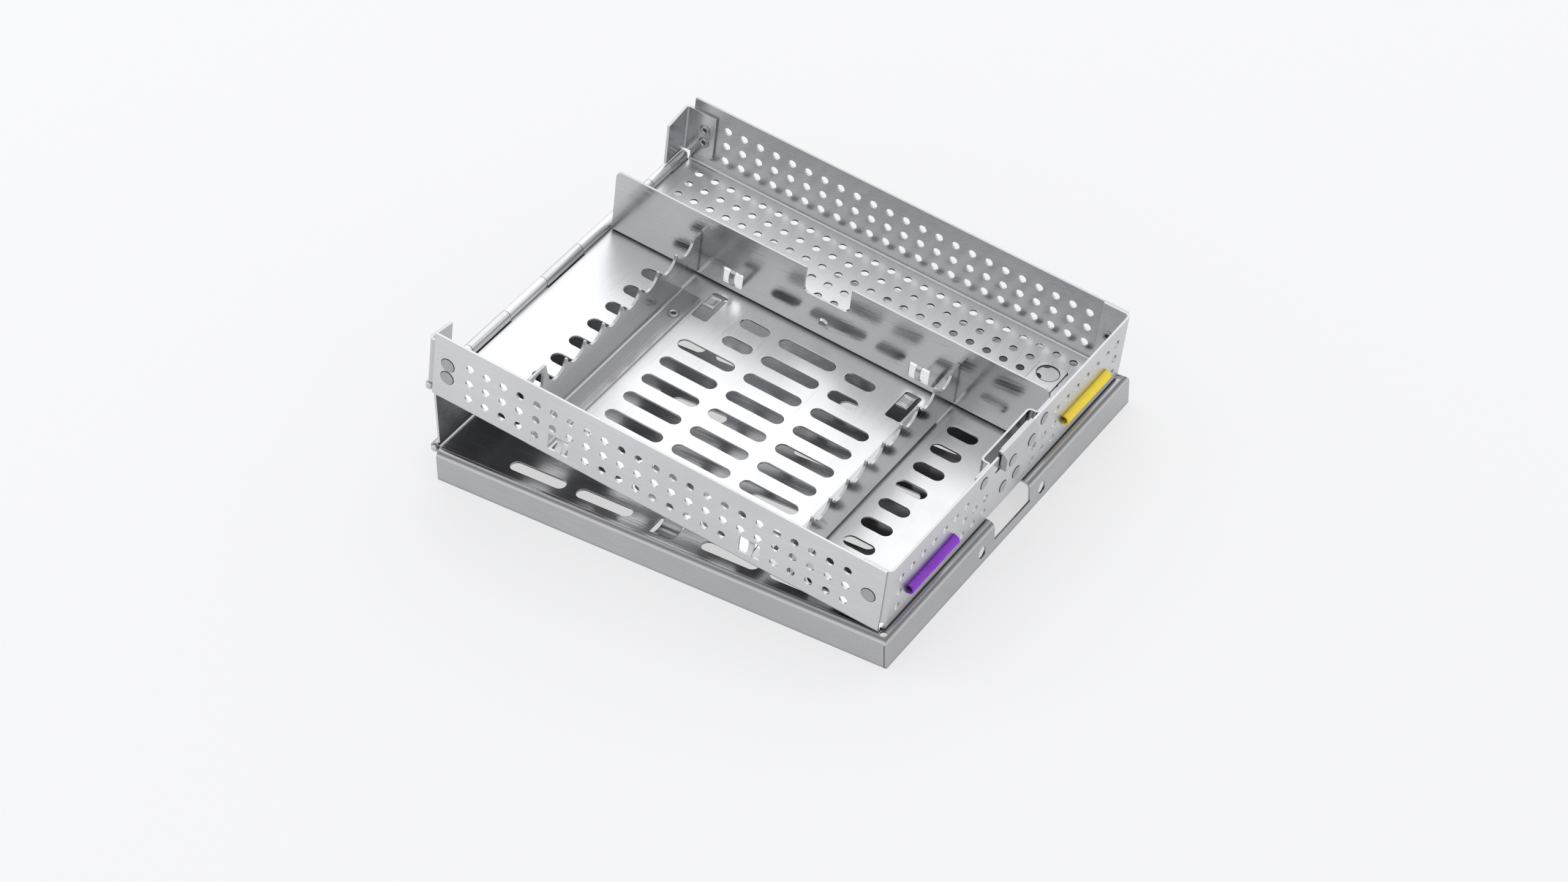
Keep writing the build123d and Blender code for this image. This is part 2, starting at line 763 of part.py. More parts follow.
with BuildPart() as back_corner_bracket:
    with BuildSketch(plan(tray_frame, bracket_bottom)):
        add(bent_strip(back_bracket_points, bracket_fold, bracket_sheet, Side.LEFT))
    extrude(amount=bracket_height)
    with BuildSketch(front_view(tray_frame, tray_depth - sheet)):
        with Locations(*[(bracket_rivet_x, z) for z in bracket_rivets_z]):
            Circle(rivet_shank)
    extrude(amount=bracket_sheet, mode=Mode.SUBTRACT)
    with BuildSketch(side_view(tray_frame, -bracket_overhang)):
        with BuildLine():
            Polyline(
                (tray_depth - sheet - bracket_fold, bracket_top),
                (tray_depth - sheet - bracket_wing, bracket_top),
                (tray_depth - sheet - bracket_wing, bracket_top - bracket_slope),
                close=True,
            )
        make_face()
    extrude(amount=bracket_sheet, mode=Mode.SUBTRACT)
back_corner_bracket.part.label = "back_corner_bracket"

# Rivets of the brackets and of the latch wall's corner flanges
with BuildPart() as bracket_rivets:
    for way in (from_front, from_back):
        for place in [way(bracket_rivet_x, z) for z in bracket_rivets_z]:
            with BuildSketch(front_view(place)):
                add(eyelet_rivet(sheet + bracket_sheet))
            revolve(axis=place.z_axis)
bracket_rivets.part.label = "bracket_rivets"

with BuildPart() as corner_rivets:
    for place in [way(corner_rivet_x, corner_rivet_z) for way in (from_front, from_back)]:
        with BuildSketch(front_view(place)):
            add(eyelet_rivet(2 * sheet))
        revolve(axis=place.z_axis)
corner_rivets.part.label = "corner_rivets"

# Pin in the tray's knuckles
with BuildPart() as tray_hinge_pin:
    with BuildSketch(front_view(tray_frame, hinge_start - pin_margin)):
        with Locations((hinge_x, hinge_z)):
            Circle(pin_radius)
    extrude(amount=-pin_length)
tray_hinge_pin.part.label = "tray_hinge_pin"

# Guard: a hat-shaped strip that keeps instruments off the latch spring
guard_points = [
    (inner_wall, latch_y - guard_half - guard_flange),
    (inner_wall, latch_y - guard_half),
    (guard_plate_x, latch_y - guard_half),
    (guard_plate_x, latch_y + guard_half),
    (inner_wall, latch_y + guard_half),
    (inner_wall, latch_y + guard_half + guard_flange),
]
with BuildPart() as latch_guard:
    with BuildSketch(plan(tray_frame, guard_bottom)):
        add(bent_strip(guard_points, guard_bend, sheet, Side.LEFT))
    extrude(amount=guard_height)
    with BuildSketch(side_view(tray_frame, inner_wall)):
        with Locations(*guard_rivet_places):
            Circle(rivet_shank)
    extrude(amount=-sheet, mode=Mode.SUBTRACT)
latch_guard.part.label = "latch_guard"

with BuildPart() as latch_guard_rivets:
    for place in [from_latch(*spot) for spot in guard_rivet_places]:
        with BuildSketch(front_view(place)):
            add(flush_rivet(latch_rivet_radius, 2 * sheet))
        revolve(axis=place.z_axis)
latch_guard_rivets.part.label = "latch_guard_rivets"

# Leaf spring that carries the button
spring_bottom = spring_rivet_z - spring_foot / 2
with BuildPart() as latch_spring:
    with BuildSketch(side_view(tray_frame, inner_wall)):
        with Locations((latch_y, (spring_bottom + button_top) / 2)):
            Rectangle(spring_width, button_top - spring_bottom)
        with Locations(*spring_rivet_places, *button_rivet_places):
            Circle(rivet_shank, mode=Mode.SUBTRACT)
    extrude(amount=-spring_sheet)
latch_spring.part.label = "latch_spring"

with BuildPart() as latch_spring_rivets:
    for place in [from_latch(*spot) for spot in spring_rivet_places]:
        with BuildSketch(front_view(place)):
            add(flush_rivet(latch_rivet_radius, sheet + spring_sheet))
        revolve(axis=place.z_axis)
latch_spring_rivets.part.label = "latch_spring_rivets"

# Latch button with its chamfered top
button_face = tray_length + button_reach
with BuildPart() as latch_button:
    with BuildSketch(front_view(tray_frame, latch_y - button_length / 2)):
        with BuildLine():
            Polyline(
                (inner_wall, button_bottom),
                (button_face, button_bottom),
                (button_face, button_top - button_chamfer),
                (button_face - button_chamfer, button_top),
                (inner_wall, button_top),
                close=True,
            )
        make_face()
    extrude(amount=-button_length)
    with BuildSketch(side_view(tray_frame, inner_wall)):
        with Locations(*button_rivet_places):
            Circle(rivet_shank)
    extrude(amount=button_reach + sheet, mode=Mode.SUBTRACT)
latch_button.part.label = "latch_button"

with BuildPart() as latch_button_rivets:
    for place in [from_latch(y, z, button_reach) for y, z in button_rivet_places]:
        with BuildSketch(front_view(place)):
            add(flush_rivet(latch_rivet_radius, button_reach + sheet + spring_sheet))
        revolve(axis=place.z_axis)
latch_button_rivets.part.label = "latch_button_rivets"

# Colour sleeves on the bars of the latch wall
with BuildPart() as purple_sleeve:
    with BuildSketch(front_view(tray_frame, sleeve_starts[0])):
        with Locations((sleeve_x, sleeve_z)):
            Circle(sleeve_radius)
            Circle(sleeve_bore, mode=Mode.SUBTRACT)
    extrude(amount=-sleeve_length)
purple_sleeve.part.label = "purple_sleeve"

with BuildPart() as yellow_sleeve:
    with BuildSketch(front_view(tray_frame, sleeve_starts[1])):
        with Locations((sleeve_x, sleeve_z)):
            Circle(sleeve_radius)
            Circle(sleeve_bore, mode=Mode.SUBTRACT)
    extrude(amount=-sleeve_length)
yellow_sleeve.part.label = "yellow_sleeve"

# Marker plate in the store's corner
marker_middle = marker_y + (marker_plate_back - marker_plate_front) / 2
with BuildPart() as marker_plate:
    with BuildSketch(plan(tray_frame, sheet)):
        with Locations((marker_x, marker_middle)):
            RectangleRounded(marker_plate_x, marker_plate_back + marker_plate_front, marker_corner)
        with Locations((marker_x, marker_y)):
            Circle(marker_window, mode=Mode.SUBTRACT)
    extrude(amount=marker_height)
marker_plate.part.label = "marker_plate"

# Spine: a leaf with knuckles for the lid below and for the tray above
leaf_inner = knuckle_radius - sheet
with BuildPart() as spine_plate:
    with BuildSketch(side_view(spine_frame, leaf_inner)):
        with Locations(((hinge_start + hinge_end) / 2, pin_spacing / 2)):
            Rectangle(hinge_end - hinge_start, pin_spacing - 2 * leaf_cutback)
    extrude(amount=sheet)
    for start, end in spine_spans:
        with BuildSketch(front_view(spine_frame, start)):
            add(knuckle((0, 0), (leaf_inner, 0), (knuckle_radius, leaf_cutback)))
            add(
                knuckle(
                    (0, pin_spacing),
                    (leaf_inner, pin_spacing - leaf_cutback),
                    (knuckle_radius, pin_spacing),
                )
            )
        extrude(amount=start - end)
spine_plate.part.label = "spine_plate"

# Lid panel with instrument slots, two lanced tabs and the latch window
lid_panel_right = lid_reach - lid_bend
lid_centre_x = floor_centre_x - hinge_x
lid_row_pitch = (tray_depth - 2 * lid_slot_edge) / (lid_slot_rows - 1)
lid_rows = [lid_slot_edge + row * lid_row_pitch for row in range(lid_slot_rows)]
lid_columns = [lid_centre_x + x for x in (-lid_slot_far, -lid_slot_near, lid_slot_near, lid_slot_far)]
tab_rows = [lid_rows[0], lid_rows[-1]]
lid_corners = [(lid_panel_right, lid_front + lid_bend), (lid_panel_right, lid_back - lid_bend)]
with BuildPart() as lid_panel:
    with BuildSketch(plan(lid_frame, lid_face)):
        with Locations(((lid_left + lid_panel_right) / 2, lid_mid_y)):
            Rectangle(lid_panel_right - lid_left, lid_back - lid_front - 2 * lid_bend)
        with Locations(*[(x, y) for x in lid_columns for y in lid_rows]):
            SlotOverall(lid_slot, lid_slot_width, mode=Mode.SUBTRACT)
        with Locations(*[(lid_centre_x, y) for y in tab_rows]):
            Rectangle(
                lid_tab_width + 2 * lid_tab_slit, lid_tab_length, mode=Mode.SUBTRACT
            )
        with Locations((lid_panel_right, latch_y)):
            Rectangle(2 * window_reach, window_width, mode=Mode.SUBTRACT)
        with Locations(*lid_corners):
            Circle(lid_relief, mode=Mode.SUBTRACT)
    extrude(amount=sheet)
    for y in tab_rows:
        low = y - lid_tab_length / 2
        with BuildSketch(end_view(lid_frame, lid_centre_x + lid_tab_width / 2)):
            add(bowed_strip(low, low + lid_tab_length, lid_face, -lid_tab_bow))
        extrude(amount=lid_tab_width)
lid_panel.part.label = "lid_panel"

# Knuckles rolled out of the panel's left edge
with BuildPart() as lid_knuckles:
    for start, end in outer_spans:
        with BuildSketch(front_view(lid_frame, start)):
            add(knuckle((0, lid_axis_z), (0, lid_face), (lid_left, lid_flange)))
        extrude(amount=start - end)
lid_knuckles.part.label = "lid_knuckles"

# Lid rims: the latch rim covers the ends of the other two, and their bends are mitred
flange_end = lid_reach - sheet - lid_corner_gap
flange_middle = (flange_end + lid_reach) / 2
bend_z = lid_flange - lid_bend


def side_mitre(edge, inward):
    """Triangle and round relief cut out of the end of a side rim's bend."""
    start = edge + inward * lid_bend
    with BuildSketch() as outline:
        with BuildLine():
            Polyline((lid_panel_right, start), (lid_reach, edge), (lid_reach, start), close=True)
        make_face()
        with Locations((lid_panel_right, start)):
            Circle(lid_relief)
    return outline.sketch


def latch_mitre(edge, inward):
    """Corner and round relief cut out of one end of the latch rim's bend."""
    start = edge + inward * lid_bend
    gap = inward * lid_corner_gap
    with BuildSketch() as outline:
        with BuildLine():
            Polyline(
                (lid_panel_right, edge),
                (lid_panel_right, start + gap),
                (lid_reach, edge + gap),
                (lid_reach, edge),
                close=True,
            )
        make_face()
        with Locations((lid_panel_right, start)):
            Circle(lid_relief)
    return outline.sketch


with BuildPart() as lid_front_flange:
    with BuildSketch(side_view(lid_frame, lid_left)):
        add(folded_edge(lid_front, 1, lid_flange, lid_bend, lid_flange, -1))
    extrude(amount=lid_reach - lid_left)
    with BuildSketch(plan(lid_frame, 0)):
        with Locations((flange_middle, lid_front + lid_bend / 2)):
            Rectangle(lid_reach - flange_end, lid_bend)
    extrude(amount=bend_z + lid_corner_gap, mode=Mode.SUBTRACT)
    with BuildSketch(plan(lid_frame, bend_z)):
        add(side_mitre(lid_front, 1))
    extrude(amount=lid_bend, mode=Mode.SUBTRACT)
lid_front_flange.part.label = "lid_front_flange"

with BuildPart() as lid_back_flange:
    with BuildSketch(side_view(lid_frame, lid_left)):
        add(folded_edge(lid_back, -1, lid_flange, lid_bend, lid_flange, -1))
    extrude(amount=lid_reach - lid_left)
    with BuildSketch(plan(lid_frame, 0)):
        with Locations((flange_middle, lid_back - lid_bend / 2)):
            Rectangle(lid_reach - flange_end, lid_bend)
    extrude(amount=bend_z + lid_corner_gap, mode=Mode.SUBTRACT)
    with BuildSketch(plan(lid_frame, bend_z)):
        add(side_mitre(lid_back, -1))
    extrude(amount=lid_bend, mode=Mode.SUBTRACT)
lid_back_flange.part.label = "lid_back_flange"

with BuildPart() as lid_latch_flange:
    with BuildSketch(front_view(lid_frame, lid_front)):
        add(folded_edge(lid_reach, -1, lid_flange, lid_bend, lid_flange, -1))
    extrude(amount=lid_front - lid_back)
    with BuildSketch(plan(lid_frame, bend_z)):
        add(latch_mitre(lid_front, 1))
        add(latch_mitre(lid_back, -1))
    extrude(amount=lid_bend, mode=Mode.SUBTRACT)
    with BuildSketch(side_view(lid_frame, lid_panel_right)):
        with Locations((latch_y, (window_bar + lid_flange) / 2)):
            Rectangle(window_width, lid_flange - window_bar)
        with Locations(
            (latch_y - guard_rivet_gap / 2, window_z), (latch_y + guard_rivet_gap / 2, window_z)
        ):
            Circle(rivet_window_radius)
    extrude(amount=lid_bend, mode=Mode.SUBTRACT)
lid_latch_flange.part.label = "lid_latch_flange"

# Pin in the lid's knuckles
with BuildPart() as lid_hinge_pin:
    with BuildSketch(front_view(lid_frame, hinge_start - pin_margin)):
        with Locations((0, lid_axis_z)):
            Circle(pin_radius)
    extrude(amount=-pin_length)
lid_hinge_pin.part.label = "lid_hinge_pin"

# Write one file for every piece
export_step(tray_floor.part, "parts/tray_floor.step")
export_step(tray_knuckles.part, "parts/tray_knuckles.step")
export_step(tray_front_wall.part, "parts/tray_front_wall.step")
export_step(tray_back_wall.part, "parts/tray_back_wall.step")
export_step(tray_latch_wall.part, "parts/tray_latch_wall.step")
export_step(partition.part, "parts/partition.step")
export_step(partition_rivets.part, "parts/partition_rivets.step")
export_step(left_comb.part, "parts/left_comb.step")
export_step(right_comb.part, "parts/right_comb.step")
export_step(comb_rivets.part, "parts/comb_rivets.step")
export_step(front_corner_bracket.part, "parts/front_corner_bracket.step")
export_step(back_corner_bracket.part, "parts/back_corner_bracket.step")
export_step(bracket_rivets.part, "parts/bracket_rivets.step")
export_step(corner_rivets.part, "parts/corner_rivets.step")
export_step(tray_hinge_pin.part, "parts/tray_hinge_pin.step")
export_step(latch_guard.part, "parts/latch_guard.step")
export_step(latch_guard_rivets.part, "parts/latch_guard_rivets.step")
export_step(latch_spring.part, "parts/latch_spring.step")
export_step(latch_spring_rivets.part, "parts/latch_spring_rivets.step")
export_step(latch_button.part, "parts/latch_button.step")
export_step(latch_button_rivets.part, "parts/latch_button_rivets.step")
export_step(purple_sleeve.part, "parts/purple_sleeve.step")
export_step(yellow_sleeve.part, "parts/yellow_sleeve.step")
export_step(marker_plate.part, "parts/marker_plate.step")
export_step(spine_plate.part, "parts/spine_plate.step")
export_step(lid_panel.part, "parts/lid_panel.step")
export_step(lid_knuckles.part, "parts/lid_knuckles.step")
export_step(lid_front_flange.part, "parts/lid_front_flange.step")
export_step(lid_back_flange.part, "parts/lid_back_flange.step")
export_step(lid_latch_flange.part, "parts/lid_latch_flange.step")
export_step(lid_hinge_pin.part, "parts/lid_hinge_pin.step")
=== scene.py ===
from math import cos, pi, radians, sin

import bpy
from mathutils import Matrix, Vector


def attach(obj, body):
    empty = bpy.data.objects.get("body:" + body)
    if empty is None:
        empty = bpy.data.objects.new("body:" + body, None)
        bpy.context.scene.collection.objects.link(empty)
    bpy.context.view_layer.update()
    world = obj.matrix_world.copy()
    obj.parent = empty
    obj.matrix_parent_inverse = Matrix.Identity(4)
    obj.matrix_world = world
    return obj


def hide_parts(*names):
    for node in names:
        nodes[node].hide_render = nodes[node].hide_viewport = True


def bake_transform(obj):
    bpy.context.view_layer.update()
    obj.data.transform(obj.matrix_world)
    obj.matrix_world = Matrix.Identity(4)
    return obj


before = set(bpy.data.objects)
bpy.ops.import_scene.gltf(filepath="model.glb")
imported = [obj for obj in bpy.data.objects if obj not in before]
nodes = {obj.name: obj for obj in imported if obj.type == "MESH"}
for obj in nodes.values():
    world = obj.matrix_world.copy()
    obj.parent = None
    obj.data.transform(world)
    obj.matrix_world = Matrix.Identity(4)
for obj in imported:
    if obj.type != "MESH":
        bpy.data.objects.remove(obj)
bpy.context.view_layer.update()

MM = 0.001

# Sizes and places in the tray's own frame and in the lid's, in millimetres, as in the part's source
TILT = radians(7.727057)
TRAY_ORIGIN = Vector((-93.08165, -81.0, 37.323269))
LID_ORIGIN = Vector((-94.97932, -81.0, 0.0))
SHEET = 0.8
TRAY_LENGTH = 185.0
TRAY_DEPTH = 162.0
INNER_WALL = TRAY_LENGTH - SHEET
FLOOR_CENTRE = 92.1
PARTITION_Y = 109.188
LATCH_Y = 81.5

# Directions of the tray's own axes in the shared frame
ALONG_X = Vector((cos(TILT), 0, -sin(TILT)))
ALONG_Y = Vector((0, 1, 0))
ALONG_Z = Vector((sin(TILT), 0, cos(TILT)))


def tray_point(x, y, z):
    """A place of the tray's own frame, in metres in the shared frame."""
    across = x * cos(TILT) + z * sin(TILT)
    up = z * cos(TILT) - x * sin(TILT)
    return (TRAY_ORIGIN + Vector((across, y, up))) * MM


def lid_point(x, y, z):
    """A place of the lid's own frame, in metres in the shared frame."""
    return (LID_ORIGIN + Vector((x, y, z))) * MM


# Helpers for shader nodes
SAMPLES = 6


def new_material(name):
    """A node material with its tree and its main shader."""
    material = bpy.data.materials.new(name)
    material.use_nodes = True
    tree = material.node_tree
    return material, tree, tree.nodes["Principled BSDF"]


def add(tree, kind, **settings):
    """Add one shader node and set its properties."""
    node = tree.nodes.new(kind)
    for key, value in settings.items():
        setattr(node, key, value)
    return node


def remap(tree, source, low, high, start=0.3, end=0.7):
    """Stretch a value from the range start to end to the range low to high."""
    node = add(tree, "ShaderNodeMapRange")
    node.inputs["From Min"].default_value = start
    node.inputs["From Max"].default_value = end
    node.inputs["To Min"].default_value = low
    node.inputs["To Max"].default_value = high
    tree.links.new(source, node.inputs["Value"])
    return node.outputs["Result"]


def maths(tree, operation, first, second=0.0):
    """Join two values, or a value and a number, with one operation."""
    node = add(tree, "ShaderNodeMath", operation=operation)
    tree.links.new(first, node.inputs[0])
    if isinstance(second, (int, float)):
        node.inputs[1].default_value = second
    else:
        tree.links.new(second, node.inputs[1])
    return node.outputs["Value"]


def blend_colour(tree, factor, first, second):
    """Mix two colours; each is a tuple or another node's output."""
    node = add(tree, "ShaderNodeMix", data_type="RGBA")
    tree.links.new(factor, node.inputs["Factor"])
    for key, value in (("A", first), ("B", second)):
        if isinstance(value, tuple):
            node.inputs[key].default_value = (*value, 1)
        else:
            tree.links.new(value, node.inputs[key])
    return node.outputs["Result"]


def scaled(vector, factor):
    """A tuple with each value times a factor."""
    return tuple(value * factor for value in vector)


def grain_noise(tree, scale, detail=4.0, shift=0.0):
    """Noise with a scale per metre along each axis; a small scale draws it out into lines."""
    place = add(tree, "ShaderNodeTexCoord")
    mapping = add(tree, "ShaderNodeMapping")
    mapping.inputs["Scale"].default_value = scale
    mapping.inputs["Location"].default_value = (shift, shift, shift)
    noise = add(tree, "ShaderNodeTexNoise")
    noise.inputs["Scale"].default_value = 1.0
    noise.inputs["Detail"].default_value = detail
    tree.links.new(place.outputs["Object"], mapping.inputs["Vector"])
    tree.links.new(mapping.outputs["Vector"], noise.inputs["Vector"])
    return noise.outputs["Fac"]


def bend_mark(tree, low, high):
    """A mask for the painted reflection on bends: one where the sheet bends from upright towards flat, in
    the piece's own directions.
    """
    place = add(tree, "ShaderNodeTexCoord")
    split = add(tree, "ShaderNodeSeparateXYZ")
    tree.links.new(place.outputs["Normal"], split.inputs["Vector"])
    steep = maths(tree, "ABSOLUTE", split.outputs["Z"])
    rise = remap(tree, steep, 0.0, 1.0, start=low - 0.1, end=low + 0.05)
    fall = remap(tree, steep, 1.0, 0.0, start=high - 0.05, end=high + 0.1)
    return maths(tree, "MULTIPLY", rise, fall)


def crease_shade(tree, reach, depth, start, end):
    """Painted shade: a value that grows to depth in tight corners and hollows; reach is in millimetres."""
    hollow = add(tree, "ShaderNodeAmbientOcclusion", samples=SAMPLES, only_local=False)
    hollow.inputs["Distance"].default_value = reach * MM
    return remap(tree, hollow.outputs["AO"], depth, 0.0, start=start, end=end)


def add_relief(tree, shader, height, distance, normal=None):
    """Bump the surface by a height; distance is in millimetres."""
    bumps = add(tree, "ShaderNodeBump")
    bumps.inputs["Distance"].default_value = distance * MM
    tree.links.new(height, bumps.inputs["Height"])
    if normal:
        tree.links.new(normal, bumps.inputs["Normal"])
    tree.links.new(bumps.outputs["Normal"], shader.inputs["Normal"])


def seen_rays(tree):
    """One for rays from the camera and for those that metal or a clear body sends on."""
    rays = add(tree, "ShaderNodeLightPath")
    seen = maths(tree, "MAXIMUM", rays.outputs["Is Camera Ray"], rays.outputs["Is Glossy Ray"])
    return maths(tree, "MAXIMUM", seen, rays.outputs["Is Transmission Ray"])


def mix_shaders(tree, factor, first, second, output):
    """Send a mix of two shaders to an output node."""
    mix = add(tree, "ShaderNodeMixShader")
    for socket, source in enumerate((factor, first.outputs[0], second.outputs[0])):
        tree.links.new(source, mix.inputs[socket])
    tree.links.new(mix.outputs[0], tree.nodes[output].inputs["Surface"])


def steel(
    name,
    grain,
    tone=0.66,
    roughness=0.26,
    swing=0.06,
    edge=0.22,
    bump=0.010,
    shade_depth=0.5,
    shade_reach=1.6,
    bend_reflection=0.0,
    smudge=0.4,
):
    """Brushed stainless steel: grain, fine scratches, smudges, edges painted lighter as worn metal and as
    painted highlight, painted shade in tight corners and hollows, and painted reflection on bends.
    """
    material, tree, shader = new_material(name)
    link = tree.links.new
    lines = grain_noise(tree, grain, 5.0)
    streaks = grain_noise(tree, scaled(grain, 0.22), 3.0, 7.0)
    scratches = grain_noise(tree, scaled(grain, 0.4), 2.0, 3.0)
    scratches = remap(tree, scratches, 0.0, 1.0, start=0.66, end=0.72)
    smudges = grain_noise(tree, (26.0, 31.0, 37.0), 3.0)
    mottle = grain_noise(tree, (900.0, 900.0, 900.0), 2.0)

    # Edges found from the bevel's normal are painted lighter, partly as worn metal and partly as painted
    # highlight.
    rounded = add(tree, "ShaderNodeBevel", samples=SAMPLES)
    rounded.inputs["Radius"].default_value = edge * MM
    surface = add(tree, "ShaderNodeNewGeometry")
    facing = add(tree, "ShaderNodeVectorMath", operation="DOT_PRODUCT")
    link(rounded.outputs["Normal"], facing.inputs[0])
    link(surface.outputs["Normal"], facing.inputs[1])
    edges_worn_and_highlit = remap(tree, facing.outputs["Value"], 1.0, 0.0, start=0.80, end=0.985)

    light = (tone * 1.035, tone * 1.04, tone * 1.065)
    dark = (tone * 0.92, tone * 0.925, tone * 0.95)
    # A lighter tone for worn edges and for painted highlights on edges and bends.
    worn_and_highlit_tone = (min(1.0, tone * 1.25), min(1.0, tone * 1.25), min(1.0, tone * 1.26))
    colour = blend_colour(tree, remap(tree, lines, 0.0, 1.0), dark, light)
    colour = blend_colour(tree, remap(tree, smudges, 0.0, smudge), colour, scaled(dark, 0.94))
    colour = blend_colour(tree, edges_worn_and_highlit, colour, worn_and_highlit_tone)
    # Painted reflection on bends: a dark band and a light line where the sheet turns from upright towards
    # flat.
    if bend_reflection:
        bend_shade = maths(tree, "MULTIPLY", bend_mark(tree, 0.62, 0.86), bend_reflection)
        colour = blend_colour(tree, bend_shade, colour, scaled(dark, 0.35))
        bend_highlight = maths(tree, "MULTIPLY", bend_mark(tree, 0.28, 0.42), bend_reflection)
        colour = blend_colour(tree, bend_highlight, colour, worn_and_highlit_tone)
    # Painted shade: the base colour darkens from ambient occlusion in tight corners and hollows.
    shade = crease_shade(tree, shade_reach, shade_depth, start=0.35, end=0.9)
    link(blend_colour(tree, shade, colour, scaled(dark, 0.25)), shader.inputs["Base Color"])

    rough = remap(tree, lines, roughness - swing, roughness + swing)
    rough = maths(tree, "ADD", rough, remap(tree, smudges, -swing, swing))
    rough = maths(tree, "ADD", rough, remap(tree, scratches, 0.0, 0.12, start=0.0, end=1.0))
    rough = maths(tree, "MAXIMUM", rough, 0.06)
    link(rough, shader.inputs["Roughness"])
    shader.inputs["Metallic"].default_value = 1.0

    relief = maths(tree, "ADD", lines, remap(tree, streaks, 0.0, 0.6))
    relief = maths(tree, "SUBTRACT", relief, scratches)
    relief = maths(tree, "ADD", relief, remap(tree, mottle, 0.0, 0.5))
    add_relief(tree, shader, relief, bump, rounded.outputs["Normal"])
    return material


def silicone(name, colour, dust):
    """Matt silicone rubber: faint grain, small pits, a dusty film, and painted shade in hollows and in the
    bore.
    """
    material, tree, shader = new_material(name)
    link = tree.links.new
    grain = grain_noise(tree, (1400.0, 900.0, 1400.0), 4.0)
    cloud = grain_noise(tree, (110.0, 45.0, 110.0), 3.0)
    pits = grain_noise(tree, (700.0, 700.0, 700.0), 2.0, 5.0)
    pits = remap(tree, pits, 0.0, 1.0, start=0.68, end=0.74)
    deep = scaled(colour, 0.86)
    light = tuple(min(1.0, value * 1.1 + 0.01) for value in colour)
    mixed = blend_colour(tree, remap(tree, cloud, 0.0, 1.0), deep, light)
    film = remap(tree, grain, 0.0, 0.12, start=0.45, end=0.75)
    mixed = blend_colour(tree, film, mixed, dust)
    mixed = blend_colour(tree, maths(tree, "MULTIPLY", pits, 0.4), mixed, scaled(colour, 0.5))
    # Painted shade: the colour darkens from ambient occlusion in hollows and in the bore.
    shade = crease_shade(tree, 3.0, 0.92, start=0.05, end=0.42)
    link(blend_colour(tree, shade, mixed, scaled(colour, 0.12)), shader.inputs["Base Color"])
    link(remap(tree, grain, 0.40, 0.56), shader.inputs["Roughness"])
    shader.inputs["Specular IOR Level"].default_value = 0.35
    shader.inputs["Subsurface Weight"].default_value = 0.12
    shader.inputs["Subsurface Radius"].default_value = (0.0012, 0.0012, 0.0012)
    add_relief(tree, shader, maths(tree, "SUBTRACT", grain, pits), 0.02)
    return material


# Helpers for pieces
def dress(material, *names):
    """Give CAD nodes one material."""
    for name in names:
        mesh = nodes[name].data
        mesh.materials.clear()
        mesh.materials.append(material)


def new_piece(name, points, faces, material, body, smooth=True):
    """A mesh piece; it rides on a body if one is named."""
    mesh = bpy.data.meshes.new(name)
    mesh.from_pydata([tuple(point) for point in points], [], faces)
    mesh.validate()
    mesh.materials.append(material)
    for face in mesh.polygons:
        face.use_smooth = smooth
    piece = bpy.data.objects.new(name, mesh)
    bpy.context.scene.collection.objects.link(piece)
    if body:
        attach(piece, body)
    return piece


def ring_faces(rings, sides, capped=False, looped=False):
    """Faces between rings of points; the last ring can be capped or joined to the first."""
    faces = []
    for ring in range(rings if looped else rings - 1):
        first = ring * sides
        after = (ring + 1) % rings * sides
        for side in range(sides):
            beside = (side + 1) % sides
            faces.append((first + side, first + beside, after + beside, after + side))
    if capped:
        faces.append(tuple((rings - 1) * sides + side for side in range(sides)))
    return faces


def ring_points(profile, sides, centre, first, second, ripple=0.0):
    """Rings round a centre, each with a radius and a height; first and second span their plane."""
    out = first.cross(second)
    points = []
    for radius, height in profile:
        for side in range(sides):
            angle = 2 * pi * side / sides
            spoke = (first * cos(angle) + second * sin(angle)) * radius
            spoke = spoke * (1 + ripple * cos(5 * angle + 1.0))
            points.append(centre + (spoke + out * height) * MM)
    return points


def rounded_outline(half_x, half_y, corner, count=6):
    """Points round a rectangle with rounded corners."""
    outline = []
    for turn, (sx, sy) in enumerate(((1, 1), (-1, 1), (-1, -1), (1, -1))):
        for step in range(count + 1):
            angle = (turn + step / count) * pi / 2
            x = sx * (half_x - corner) + corner * cos(angle)
            y = sy * (half_y - corner) + corner * sin(angle)
            outline.append((x, y))
    return outline


# Grain: lines per metre across the brushing and along it
ACROSS = 3600.0
ALONG = 70.0
along_x = (ALONG, ACROSS, ACROSS)
along_y = (ACROSS, ALONG, ACROSS)
tumbled = (1500.0, 1500.0, 1500.0)

# Tones differ from part to part partly as painted light and shade: the tray floor is set lighter, and the
# back wall, partition and combs darker, as the same steel lit or in shade; the lid panel's wide reach
# paints shade where the tray hangs over it.
floor_steel = steel("floor_steel", along_y, tone=0.80, roughness=0.34, shade_depth=0.45)
wall_steel = steel("wall_steel", along_x, tone=0.68, roughness=0.27, smudge=0.5)
back_steel = steel("back_wall_steel", along_x, tone=0.55, roughness=0.25)
latch_steel = steel("latch_wall_steel", along_y, tone=0.63, roughness=0.30)
partition_steel = steel("partition_steel", along_x, tone=0.56, roughness=0.15, swing=0.04, smudge=0.25)
comb_steel = steel("comb_steel", along_y, tone=0.54, roughness=0.2)
bracket_steel = steel("bracket_steel", along_y, tone=0.58, roughness=0.2)
guard_steel = steel("guard_steel", along_y, tone=0.56, roughness=0.16)
button_steel = steel("button_steel", along_y, tone=0.52, roughness=0.22, edge=0.3)
spring_steel = steel("spring_steel", along_y, tone=0.55, roughness=0.18, edge=0.1)
